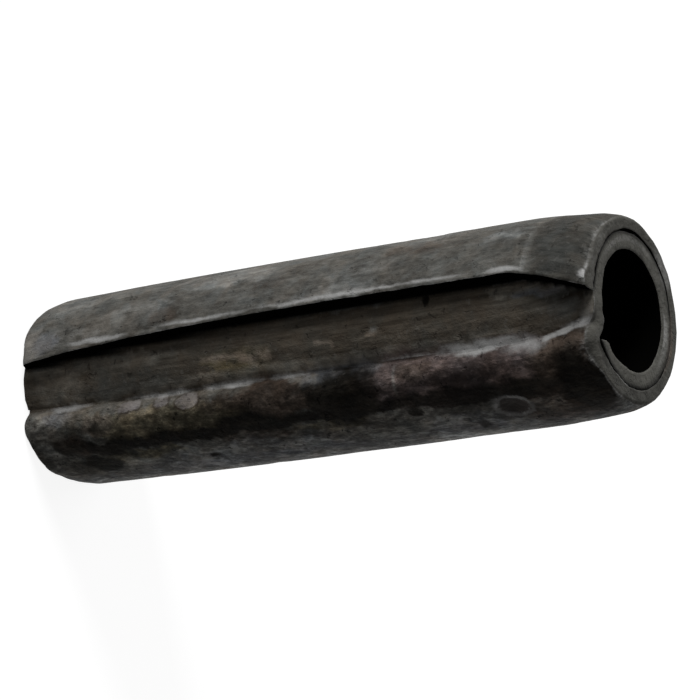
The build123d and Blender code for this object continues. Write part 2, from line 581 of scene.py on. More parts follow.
def coil_tree(steel, painted_shade):
    """Builds the node tree that makes the bar, rounds it and rolls it up."""
    tree = bpy.data.node_groups.new("Roll a strip into a coil", "GeometryNodeTree")
    size = add_inputs(tree)

    points = {"Vertices X": ACROSS_ROWS + 1, "Vertices Y": THROUGH_ROWS + 1, "Vertices Z": ALONG_ROWS + 1}
    bar = add_node(tree, "GeometryNodeMeshCube", points)
    position = Field(tree.nodes.new("GeometryNodeInputPosition").outputs["Position"])
    capture = tree.nodes.new("GeometryNodeCaptureAttribute")
    capture.capture_items.new("VECTOR", "Place")
    feed_all(capture, {"Geometry": Field(bar.outputs["Mesh"]), "Place": position})
    geometry = Field(capture.outputs["Geometry"])
    row_across, row_through, row_along = [
        part + 0.5 for part in parts_of(Field(capture.outputs["Place"]))
    ]

    # The bar's points, spaced finely along its edges and in the seam.
    inner_width, outer_width = size.inner_width, size.outer_width
    foot_length = size.bend * FOOT_TURN
    top_length = size.bend * TOP_TURN
    total_width = inner_width + foot_length + top_length + outer_width
    across = reached(
        row_across * ACROSS_ROWS,
        [
            (EDGE_ROWS, FINE_SPAN),
            (HIDDEN_ROWS, inner_width - FINE_SPAN - SEAM_SPAN),
            (SEAM_ROWS, SEAM_SPAN),
            (FOOT_ROWS, foot_length),
            (TOP_ROWS, top_length),
            (LOWER_ROWS, outer_width * 0.25),
            (FAR_ROWS, outer_width * 0.5),
            (UPPER_ROWS, outer_width * 0.25 - FINE_SPAN),
            (EDGE_ROWS, FINE_SPAN),
        ],
    )
    body = size.length - 2 * FINE_SPAN
    height = reached(
        row_along * ALONG_ROWS, [(END_ROWS, FINE_SPAN), (BODY_ROWS, body), (END_ROWS, FINE_SPAN)]
    )
    core = size.thickness - 2 * FINE_SPAN
    through = reached(
        row_through * THROUGH_ROWS, [(FACE_ROWS, FINE_SPAN), (CORE_ROWS, core), (FACE_ROWS, FINE_SPAN)]
    )
    through = through - size.thickness / 2

    across, height, through, worn = round_edges(across, height, through, total_width, size)
    rough = weather(across, height, through, total_width, size)
    x, y, layer, past_lip = roll(*rough, size)

    # Masks for the finish. Rows at the very ends of the grid are the strip's cut faces.
    last_row = 0.999
    sheared = (absolute(row_along - 0.5) * 2) > last_row
    cut_edge = (absolute(row_across - 0.5) * 2) > last_row
    in_bore = row_through < 1 - last_row
    to_end = least(height, size.length - height)
    covered = (past_lip < 0.0) * (to_end > 0.6 * MM)
    # Painted shadow of the outer lip on the strip under it, fading out with the distance from the lip; its
    # reach changes with height.
    shadow_reach = mix(SHADOW_REACH_LOW, SHADOW_REACH_HIGH, ramp(height, 8 * MM, 20 * MM))
    shadow_reach = shadow_reach * ramp(height, 0.2 * MM, 2.5 * MM)
    shadow_reach = shadow_reach * (1.0 - ramp(height, 28 * MM, 30.5 * MM) * 0.9)
    lip_shadow = ramp(past_lip, shadow_reach + 0.05 * MM, shadow_reach * 0.2)
    outside = through / (size.thickness / 2)
    for name, value in (
        ("worn", worn),
        ("outside", outside),
        ("layer", layer),
        ("sheared", sheared),
        ("lip_shadow", lip_shadow * ramp(outside, 0.5, 1.0)),
    ):
        geometry = store(geometry, name, value)
    strip_place = vector(across, height, 0.0)
    geometry = store(geometry, "strip", strip_place, "FLOAT2", "CORNER")
    broad = noise_vector(strip_place, 480.0, 14.0, 1.7 * MM)
    fine = noise_vector(strip_place, 1500.0, 15.0, 0.8 * MM)
    geometry = store(geometry, "warp", add_vectors(broad, fine), "FLOAT_VECTOR")

    geometry = changed(geometry, "SetPosition", {"Position": vector(x, y, rough[1])})
    for kind in ("FlipFaces", "SetShadeSmooth", "RealizeInstances"):
        geometry = changed(geometry, kind)
    # The bore, the strip's cut edges and the faces between the layers get the matt black of painted shade.
    for material, chosen in ((steel, True), (painted_shade, most(most(cut_edge, in_bore), covered))):
        geometry = changed(geometry, "SetMaterial", {"Material": material, "Selection": chosen})
    add_node(tree, "NodeGroupOutput", {"Geometry": geometry})
    return tree


def add_object(name, data):
    placed = bpy.data.objects.new(name, data)
    bpy.context.scene.collection.objects.link(placed)
    return placed


def rolled_mesh(coil, steel, painted_shade):
    """The coil as a plain mesh, from the modifier's result."""
    tree = coil_tree(steel, painted_shade)
    sizes = {name: getattr(coil, name) for name in LENGTH_INPUTS[:-2] + OTHER_INPUTS}
    sizes["outer_width"], sizes["inner_width"] = strip_widths(coil)
    blank = add_object("blank", bpy.data.meshes.new("blank"))
    modifier = blank.modifiers.new("Roll", "NODES")
    modifier.node_group = tree
    for item in tree.interface.items_tree:
        if item.in_out == "INPUT":
            modifier[item.identifier] = sizes[item.name]
    bpy.context.view_layer.update()
    graph = bpy.context.evaluated_depsgraph_get()
    mesh = bpy.data.meshes.new_from_object(blank.evaluated_get(graph))
    bpy.data.objects.remove(blank)
    # A primitive mesh starts with an empty material slot.
    mesh.materials.pop(index=0)
    return mesh


# ---- Dents, chips, stains, rubbed places and painted light and shade ----

# Dents and chips: height (mm), azimuth (degrees), half height, half width and depth (mm).
DENTS = (
    # The round dent and its neighbours on the lower flank.
    (29.4, 9, 0.9, 0.7, 0.2),
    (27.2, 21, 0.6, 0.4, 0.06),
    (33.2, -14, 0.6, 1, 0.06),
    (24.3, -18, 0.25, 1.1, 0.07),
    (15.6, 24, 0.6, 0.4, 0.06),
    (11, 16, 0.45, 0.3, 0.09),
    (7.6, 3, 0.5, 0.4, 0.06),
    (3.8, 9, 0.8, 0.7, 0.07),
    (19.2, 6, 0.9, 0.5, 0.06),
    # Chips along the crest of the joggle.
    (12.6, -28, 0.45, 0.3, 0.08),
    (11.1, -26, 0.62, 0.46, 0.13),
    (9.6, -28, 0.42, 0.36, 0.11),
    (8.5, -27, 0.46, 0.38, 0.11),
    (7.3, -28, 0.42, 0.34, 0.1),
    (6.2, -28, 0.4, 0.34, 0.1),
    (4.4, -28, 0.6, 0.4, 0.07),
    (2.6, -29, 0.4, 0.3, 0.06),
    (14.9, -29, 0.4, 0.26, 0.07),
    (16.6, -29, 0.5, 0.26, 0.06),
    (19, -29, 0.7, 0.6, 0.08),
    (20.5, -30, 0.95, 0.7, 0.11),
    (21.9, -29, 0.6, 0.5, 0.08),
    (23.6, -29, 0.4, 0.24, 0.06),
    (26.3, -28, 0.35, 0.24, 0.05),
    (28.4, -27, 0.4, 0.3, 0.05),
    (30.6, -28, 0.35, 0.24, 0.05),
    # Knocks on the strip in the seam.
    (14.6, -48, 0.35, 0.22, 0.05),
    (15.3, -46, 0.3, 0.25, 0.055),
    (16, -43, 0.3, 0.2, 0.05),
    (13.4, -47, 0.4, 0.22, 0.045),
    (19.7, -48, 0.28, 0.22, 0.045),
    (22.3, -49, 0.25, 0.25, 0.045),
    # Nicks in the outer lip and dents above it.
    (4.2, -70, 0.3, 0.25, 0.08),
    (9.2, -73, 0.25, 0.2, 0.08),
    (12.4, -74, 0.25, 0.2, 0.07),
    (17.1, -74, 0.3, 0.2, 0.08),
    (23.9, -75, 0.25, 0.2, 0.07),
    (29, -75, 0.3, 0.2, 0.09),
    (11, -91, 0.3, 0.25, 0.06),
    (5.1, -83, 0.75, 0.8, 0.05),
    (8, -99, 1.3, 0.9, 0.055),
    (14.2, -88, 1.4, 0.7, 0.05),
    (20, -96, 1.2, 0.8, 0.045),
    (26.2, -94, 1.6, 0.9, 0.055),
    # The side that faces away from the seam.
    (8.8, 80, 0.7, 0.5, 0.08),
    (21.5, 112, 0.9, 0.6, 0.07),
    (28.7, 150, 0.6, 0.6, 0.08),
    (14.9, 176, 0.8, 0.5, 0.07),
    (5.9, 205, 0.6, 0.7, 0.08),
    (24.4, 228, 1.1, 0.6, 0.06),
)

# Stains, some of them painted light and shade as marked below: look, height (mm), azimuth (degrees), half
# height, half width (mm) and strength.
STAINS = (
    # Upper flank, beside the outer lip.
    ("pale", 13, -106, 3.4, 0.9, 0.6),
    ("pale", 29.9, -99, 1.3, 0.5, 0.75),
    ("pale", 31.5, -85, 0.18, 1.3, 0.6),
    ("pale", 20, -76, 3.2, 0.5, 0.75),
    ("pale", 7.5, -89, 2.2, 0.7, 0.45),
    ("pale", 21.5, -90, 2.5, 0.6, 0.4),
    ("pale", 25, -112, 3, 0.6, 0.4),
    ("pale", 4.6, -75, 1.2, 0.4, 0.5),
    ("dim", 12.3, -85, 3, 0.8, 0.25),
    ("dim", 6.3, -98, 2.2, 0.6, 0.6),
    ("pale", 2.6, -106, 1.8, 1.2, 0.45),
    ("pale", 1, -75, 0.8, 1, 0.8),
    ("dim", 34.3, -110, 0.8, 2, 0.9),
    ("dim", 17.5, -104, 1.8, 0.6, 0.45),
    ("dim", 26.6, -81, 2.6, 0.8, 0.35),
    ("dim", 26, -98, 2.6, 1, 0.4),
    ("dim", 30.2, -91, 1.3, 0.5, 0.6),
    ("dim", 33.5, -95, 1.7, 3.4, 0.8),
    ("blued", 2, -74, 0.9, 0.7, 0.6),
    ("umber", 9.4, -80, 1.2, 0.4, 0.5),
    ("umber", 24, -104, 1.8, 0.6, 0.45),
    ("umber", 16, -92, 1.3, 0.5, 0.4),
    # Painted shade under the outer lip and in the crease at the foot of the joggle, with some dirt in the
    # crease.
    ("painted_shade", 25.5, -67, 0.2, 0.27, 0.85),
    ("dark", 11, -32, 4.5, 0.12, 0.3),
    ("dark", 34, -55, 0.8, 0.2, 0.9),
    # The strip in the seam. The first six ovals lighten it where the outer lip and the fold at the joggle's
    # foot shade it, and along its rounded top rim: painted light.
    ("painted_light", 4.8, -58, 5.5, 0.36, 0.7),
    ("painted_light", 2, -46, 1.6, 0.8, 0.6),
    ("painted_light", 31, -64, 2, 0.35, 0.8),
    ("painted_light", 19, -36.5, 12, 0.24, 0.8),
    ("painted_light", 6, -34.3, 5.5, 0.22, 0.8),
    ("painted_light", 34.8, -47, 0.35, 1, 0.6),
    ("pale", 34.7, -40, 0.4, 0.5, 0.5),
    ("olive", 14.2, -47, 2.3, 0.6, 0.45),
    ("tan", 12.2, -49, 0.5, 0.16, 0.7),
    ("tan", 12.9, -48, 0.6, 0.2, 0.8),
    ("tan", 13.8, -49, 0.7, 0.16, 0.6),
    ("tan", 14.7, -46, 0.5, 0.18, 0.9),
    ("tan", 15.3, -47, 0.4, 0.14, 0.8),
    ("tan", 15.9, -46, 0.3, 0.2, 0.9),
    ("tan", 14.9, -43, 0.3, 0.12, 0.6),
    ("black", 15.2, -45, 0.2, 0.14, 0.6),
    ("yellow", 13.2, -43, 1.6, 0.16, 0.5),
    ("yellow", 14.6, -36, 1.6, 0.09, 0.8),
    ("tan", 19.3, -49, 0.4, 0.12, 0.7),
    ("tan", 19.9, -47, 0.3, 0.14, 0.6),
    ("pale", 22.4, -52, 0.3, 0.12, 0.5),
    ("tan", 22.3, -48, 0.3, 0.16, 0.6),
    ("dim", 7, -42, 3, 0.8, 0.55),
    ("dim", 27, -46, 2.2, 0.5, 0.45),
    ("blued", 31.8, -61, 1.4, 0.16, 0.9),
    ("pale", 33, -46, 1.3, 0.4, 0.2),
    # Lower flank, from the joggle's crest round.
    # The long light bands round azimuth 30 to 40 brighten the flank towards its lower edge: painted sheen of
    # reflected light, with some wear.
    ("pale", 17, 38, 17, 0.9, 0.8),
    ("blued", 17, 30, 17, 0.8, 0.4),
    ("pale", 24, 36, 12, 0.8, 0.5),
    ("worn", 17, 40, 17, 0.6, 0.8),
    ("olive", 10.2, -14, 3.6, 0.8, 0.9),
    ("olive", 6.4, -14, 1.4, 0.6, 0.6),
    ("olive", 4, -20, 1.6, 0.5, 0.3),
    ("umber", 5.2, -17, 1, 0.5, 0.6),
    ("blued", 2.4, -24, 1.2, 0.4, 0.5),
    ("rust", 2.3, -11, 0.6, 0.6, 0.4),
    ("dim", 2.5, 13, 1.4, 1.2, 0.7),
    ("rust", 3.4, -6, 0.7, 0.7, 0.7),
    ("rust", 13, -20, 1.4, 0.4, 0.6),
    ("rust", 34.2, -28, 0.9, 0.45, 0.9),
    ("black", 2.8, -6, 0.8, 0.5, 0.6),
    ("rust", 16, -17, 2, 1, 0.9),
    ("purple", 24.8, -16, 2.9, 1.3, 0.9),
    ("purple", 30, -19, 2.9, 1, 0.95),
    ("rust", 33.2, -17, 1.6, 1.2, 0.95),
    ("rust", 14.5, 4, 2, 0.35, 0.6),
    ("rust", 32, 13, 2.6, 1.6, 0.6),
    ("rust", 24.8, -22, 0.7, 0.4, 0.7),
    ("olive", 6, 10, 2, 0.6, 0.5),
    ("pale", 6.4, 17, 1.8, 0.8, 0.5),
    ("olive", 8.2, 6, 1.4, 0.35, 0.7),
    ("olive", 19, 4, 2, 0.35, 0.5),
    ("blued", 20.4, -27, 2, 0.5, 0.6),
    # The bluish bands round azimuth 17 to 18 lighten the flank towards its lower edge: partly wear, partly
    # painted reflection.
    ("blued", 13.5, 18, 6.5, 0.9, 0.4),
    ("blued", 26.3, 17, 2.5, 0.9, 0.45),
    ("black", 20.2, -12, 1.9, 1.3, 1),
    ("black", 20, -20, 1.7, 0.5, 0.8),
    # The long dark bands at azimuth -3.5 and -5 lie where the flank turns away from the key lamp: painted
    # shade over dark oxide.
    ("black", 11, -3.5, 8, 0.38, 0.98),
    ("black", 14.3, -7, 1.4, 0.5, 1),
    ("black", 26, -5, 7, 0.45, 0.9),
    ("black", 5.5, 0, 1.5, 0.4, 0.8),
    ("black", 3.5, 10, 0.6, 0.55, 1),
    ("black", 4.3, 12, 0.6, 0.45, 1),
    ("black", 3.9, 16, 0.5, 0.5, 0.8),
    ("black", 2.4, 15, 0.8, 0.7, 0.5),
    ("black", 4.9, 2, 0.9, 0.5, 0.3),
    ("black", 33.8, 2, 1.3, 2.2, 0.95),
    ("black", 30.6, -3, 1.6, 0.6, 0.6),
    # A pit painted black instead of modelled: painted shade of its hollow.
    ("black", 11, 16, 0.34, 0.15, 1),
    ("black", 27.2, 21, 0.25, 0.5, 0.8),
    ("black", 24, 3, 0.5, 0.3, 0.7),
    ("pale", 23.6, -16, 0.1, 0.5, 0.5),
    # The side that faces away from the seam.
    ("olive", 12, 70, 5, 1.6, 0.5),
    ("rust", 26, 95, 4, 1.3, 0.5),
    ("black", 19, 125, 3, 0.8, 0.3),
    ("dim", 8, 150, 4, 1.5, 0.55),
    ("pale", 17, 190, 4.5, 1.2, 0.45),
    ("dim", 27, 215, 3.5, 1.4, 0.55),
    ("rust", 5, 230, 3, 1.2, 0.45),
)

# Places rubbed to bare steel, also laid where the crest, the outer lip and the ridge catch the key lamp, so
# partly wear and partly painted highlight: height (mm), azimuth (degrees), half height, half width,
# strength.
RUBBED_AND_HIGHLIT = (
    (30.4, -73, 1.5, 0.28, 0.8),
    (20.5, -74, 6.5, 0.22, 0.7),
    (12, -73, 4, 0.2, 0.65),
    (26, -74, 3, 0.18, 0.6),
    (5.4, -70, 2.6, 0.24, 0.75),
    (28.6, -30.5, 3.6, 0.42, 0.85),
    (31, -27, 1.9, 0.6, 0.55),
    (13.5, -29, 2.6, 0.2, 0.7),
    (9, -29, 3.2, 0.18, 0.6),
    (3, -29, 2, 0.2, 0.6),
    (17, -29, 1.6, 0.18, 0.6),
    (24.2, -31, 2.2, 0.18, 0.75),
    (2.4, -80, 1.4, 0.6, 0.25),
    (34.8, -65, 0.4, 0.3, 0.9),
    # The ridge that climbs to the top end.
    *((32.3 + 0.3 * step, -29.5 - step, 0.48, 0.18, 0.8) for step in range(9)),
)

# Stains on the top end face: look, radius (mm), azimuth (degrees), half width outwards, half
# length round the face (mm) and strength.
FACE_STAINS = (
    ("worn", 4.05, 161, 0.34, 0.5, 0.6),
    ("pale", 4.25, 165, 0.4, 1.1, 0.8),
    ("worn", 3.36, 118, 0.13, 0.8, 0.9),
    ("pale", 3.5, 108, 0.22, 1.4, 0.6),
    ("dim", 4.2, 36, 0.45, 3.4, 0.9),
    ("dim", 3.9, 85, 0.22, 2, 0.8),
    ("umber", 4.05, 112, 0.25, 1.5, 0.7),
    ("pale", 3.6, -134, 0.16, 3, 0.5),
    ("pale", 4.35, -84, 0.25, 2, 0.35),
    ("dim", 4, -10, 0.4, 0.8, 0.6),
)

STAIN_COLOURS = {
    "worn": (0.3, 0.298, 0.29),
    "pale": (0.185, 0.184, 0.174),
    "dim": (0.054, 0.053, 0.048),
    "blued": (0.125, 0.128, 0.136),
    "umber": (0.09, 0.075, 0.063),
    "painted_shade": (0.002, 0.002, 0.0015),
    "dark": (0.018, 0.014, 0.01),
    "tan": (0.2, 0.165, 0.132),
    "yellow": (0.15, 0.122, 0.07),
    "painted_light": (0.158, 0.146, 0.124),
    "olive": (0.126, 0.111, 0.078),
    "purple": (0.09, 0.071, 0.068),
    "rust": (0.045, 0.034, 0.027),
    "black": (0.005, 0.004, 0.003),
}

# Flakes off the crest of the joggle and one round dent: height (mm), azimuth (degrees), half
# height, half width (mm), how ragged they are, and the colours of the face and of the rim.
FLAKE_FACE = (0.255, 0.233, 0.235)
FLAKE_RIM = (0.03, 0.022, 0.018)
FLAKES = (
    (10.8, -24, 0.78, 0.42, 1, FLAKE_FACE, FLAKE_RIM),
    (9.1, -25.5, 0.52, 0.34, 1.3, FLAKE_FACE, FLAKE_RIM),
    (7, -25.5, 0.85, 0.28, 1.8, FLAKE_FACE, FLAKE_RIM),
    # The round dent: its dark face is painted shade in the hollow and its bright rim a painted highlight.
    (29.4, 9, 1, 0.76, 0.8, (0.03, 0.026, 0.025), (0.26, 0.255, 0.25)),
)


# The ovals of stains and dents are this much larger than listed, as they fade towards the outline.
STAIN_SPREAD = 1.35
DENT_SPREAD = 1.25

# How steeply a stain fills in from its outline, and how gently a dent begins.
STAIN_FILL = 1.6
DENT_POWER = 1.5


def read_values(data, name, width=1):
    """The values that every item of the data has under a name, in rows where width is over 1."""
    values = np.empty(len(data) * width, dtype=np.float32)
    data.foreach_get(name, values)
    return values.reshape(-1, width) if width > 1 else values


class Skin:
    """The mesh's points with what the marks need to know about them."""

    def __init__(self, mesh):
        self.mesh = mesh
        self.points = read_values(mesh.vertices, "co", 3)
        self.azimuth = np.degrees(np.arctan2(self.points[:, 1], self.points[:, 0]))
        self.radius = np.hypot(self.points[:, 0], self.points[:, 1])
        self.outside = read_values(mesh.attributes["outside"].data, "value")
        self.sheared = read_values(mesh.attributes["sheared"].data, "value")
        self.warp = read_values(mesh.attributes["warp"].data, "vector", 3)

    def store(self, name, kind, key, values):
        """Keeps values on the mesh's points as a new attribute."""
        data = self.mesh.attributes.new(name, kind, "POINT").data
        data.foreach_set(key, values.astype(np.float32).ravel())

    def oval(self, away, azimuth, half_away, half_width, warp):
        """1 at the middle of an uneven oval on the skin, falling to 0 at its outline.

        The outline strays by the warp, but never by more than the oval's own size allows.
        """
        turned = (self.azimuth - azimuth + 180) % 360 - 180
        sway = self.warp * warp * min(1, half_width / 0.6)
        around = np.radians(turned) * self.radius + sway[:, 0]
        away = away + sway[:, 1] * min(2, half_away / half_width)
        return np.clip(1 - (around / (half_width * MM)) ** 2 - (away / (half_away * MM)) ** 2, 0, 1)

    def nearness(self, height, azimuth, half_height, half_width, warp=1.0):
        """An oval on the side of the pin."""
        return self.oval(self.points[:, 2] - height * MM, azimuth, half_height, half_width, warp)

    def face_nearness(self, radius, azimuth, half_width, half_length):
        """An oval on an end face."""
        return self.oval(self.radius - radius * MM, azimuth, half_width, half_length, 0.6)


def press_dents(skin):
    """Moves the outer face in at each dent. The inner face stays where it is."""
    depth = np.zeros(len(skin.points))
    for height, azimuth, half_height, half_width, deepest in DENTS:
        half_sizes = half_height * DENT_SPREAD, half_width * DENT_SPREAD
        shape = skin.nearness(height, azimuth, *half_sizes, 0.3) ** DENT_POWER
        depth = np.maximum(depth, shape * deepest * MM)
    depth *= np.clip(skin.outside, 0, 1)
    skin.points[:, :2] *= (1 - depth / skin.radius)[:, None]
    skin.mesh.vertices.foreach_set("co", skin.points.ravel())


def paint_marks(skin):
    """Stores the stains' colour and strength, and the rubbed places, on the mesh. Some stains are painted
    light and shade, and the rubbed places are partly painted highlights.
    """
    paint = np.zeros((len(skin.points), 4), dtype=np.float32)
    on_top = skin.sheared * (skin.points[:, 2] > FRAME_LENGTH / 2)
    for stains, nearness, where in (
        (STAINS, skin.nearness, 1 - skin.sheared),
        (FACE_STAINS, skin.face_nearness, on_top),
    ):
        for look, away, azimuth, half_away, half_width, strength in stains:
            oval = nearness(away, azimuth, half_away * STAIN_SPREAD, half_width * STAIN_SPREAD)
            share = strength * np.clip(oval * STAIN_FILL, 0, 1) * where
            colour = np.array((*STAIN_COLOURS[look], 1))
            paint = paint * (1 - share)[:, None] + colour * share[:, None]
    rubbed = np.zeros(len(skin.points), dtype=np.float32)
    for height, azimuth, half_height, half_width, strength in RUBBED_AND_HIGHLIT:
        shape = skin.nearness(height, azimuth, half_height, half_width, 0.6)
        rubbed = np.maximum(rubbed, strength * shape)
    rubbed *= (skin.outside > 0.3) * (1 - skin.sheared)
    skin.store("stain", "FLOAT_COLOR", "color", paint)
    skin.store("rubbed", "FLOAT", "value", rubbed)


# ---- The finish ----

# Edges are worn bare most of all on the side of this azimuth.
SEAM_AZIMUTH = radians(-42)

# The steel's gloss, how metallic it is where worn bare, and how fully stains cover it.
STEEL_ROUGHNESS = 0.5
STEEL_SPECULAR = 0.014
BARE_METALLIC = 0.25
STAIN_COVER = 0.95
END_STAIN_COVER = 0.9


class Group:
    """A shader node group with named inputs and outputs."""

    def __init__(self, name, **inputs):
        self.tree = bpy.data.node_groups.new(name, "ShaderNodeTree")
        for label, start in inputs.items():
            kind = "NodeSocketVector" if start is None else "NodeSocketFloat"
            socket = self.tree.interface.new_socket(name=label, in_out="INPUT", socket_type=kind)
            if start is not None:
                socket.default_value = start
        inside = self.tree.nodes.new("NodeGroupInput")
        self.inputs = {label: Field(inside.outputs[label]) for label in inputs}
        self.result = self.tree.nodes.new("NodeGroupOutput")

    def give(self, label, value):
        self.tree.interface.new_socket(name=label, in_out="OUTPUT", socket_type="NodeSocketFloat")
        feed(self.result.inputs[label], value)

    def use(self, tree, **values):
        """Adds the group to a material and returns its output, or a list where it has more."""
        node = add_node(tree, "ShaderNodeGroup", values, node_tree=self.tree)
        given = [Field(output) for output in node.outputs]
        return given if len(given) > 1 else given[0]


def mottle_group():
    """Blotches of thicker and thinner oxide, in three sizes, drawn out along the pin."""
    group = Group("Mottle", Place=None, Contrast=1.0, Seed=0.0)
    place, contrast, seed = group.inputs.values()
    x, y, z = parts_of(place)
    place = vector(x, y, z * 0.55)
    broad = noise(place, 420.0, 3.0, 0.6, seed, 0.4)
    medium = noise(place, 1300.0, 4.0, 0.65, seed + 3, 0.8)
    fine = noise(place, 4200.0, 3.0, 0.7, seed + 6)
    blend = broad * 0.34 + medium * 0.38 + fine * 0.28
    group.give("Thin", unit((blend - 0.5) * contrast + 0.5))
    return group


def streak_group():
    """Fine marks along the strip, from rolling and from driving the pin."""
    group = Group("Streaks", Across=0.0, Along=0.0, Contrast=1.0)
    across, along, contrast = group.inputs.values()
    wide = noise(vector(across * 1700, along * 160, 0.0), 1.0, 3.0, 0.6, 21.0, 0.3)
    thin = noise(vector(across * 5600, along * 520, 0.0), 1.0, 3.0, 0.6, 22.0, 0.3)
    group.give("Bright", unit((wide * 0.55 + thin * 0.45 - 0.5) * contrast + 0.5))
    return group


def ragged_group():
    """Turns a soft mask into one with a broken outline."""
    group = Group("Ragged outline", Mask=0.0, Place=None, Breakup=0.6, Softness=0.25)
    mask, place, breakup, soft = group.inputs.values()
    grain = noise(place, 1400.0, 6.0, 0.75, 31.0) - 0.5
    moved = mask + grain * breakup * ramp(mask, 0.0, 0.15) * 2
    group.give("Mask", ramp(moved, 0.5 - soft, soft + 0.5))
    return group


def speck_group():
    """Small uneven specks, some places more than others. The rarer, the nearer Rarity is to 1."""
    group = Group("Specks", Place=None, Scale=2500.0, Rarity=0.6, Seed=0.0)
    place, scale, rarity, seed = group.inputs.values()
    grain = noise(place, scale, 3.0, 0.6, seed, 0.5)
    crowd = noise(place, 600.0, 2.0, 0.5, seed + 40) * 0.24 - 0.12
    group.give("Speck", ramp(grain + crowd, rarity, rarity + 0.07))
    return group


def flake_group():
    """An oval where the skin has broken away: its face, and the rim round it."""
    group = Group("Flake", Across=0.0, Along=0.0, Place=None, Stray=1.0)
    across, along, place, stray = group.inputs.values()
    wander = (noise(place, 1300.0, 4.0, 0.7, 81.0, 0.6) - 0.5) * stray
    broken = most(ramp(noise(place, 1500.0, 3.0, 0.6, 82.0), 0.4, 0.56), 1.0 - stray * 0.6)
    reach = (across * across + along * along) ** 0.5 + wander
    inside = 1.0 - ramp(reach, 0.7, 0.95)
    group.give("Face", inside)
    group.give("Rim", (1.0 - inside) * (1.0 - ramp(reach, 0.95, 1.25)) * broken)
    return group


def mix_colour(colour, other, share):
    node = add_node(share.tree, "ShaderNodeMix", {"Factor": share}, data_type="RGBA")
    colour_inputs = [socket for socket in node.inputs if socket.type == "RGBA"]
    for socket, value in zip(colour_inputs, (colour, other)):
        feed(socket, value if isinstance(value, Field) else (*value, 1))
    return Field([socket for socket in node.outputs if socket.type == "RGBA"][0])


def attribute(tree, name, output="Fac"):
    return Field(add_node(tree, "ShaderNodeAttribute", attribute_name=name).outputs[output])


def new_material(name):
    """A material, its node tree and its Principled shader."""
    material = bpy.data.materials.new(name)
    material.use_nodes = True
    return material, material.node_tree, material.node_tree.nodes["Principled BSDF"]


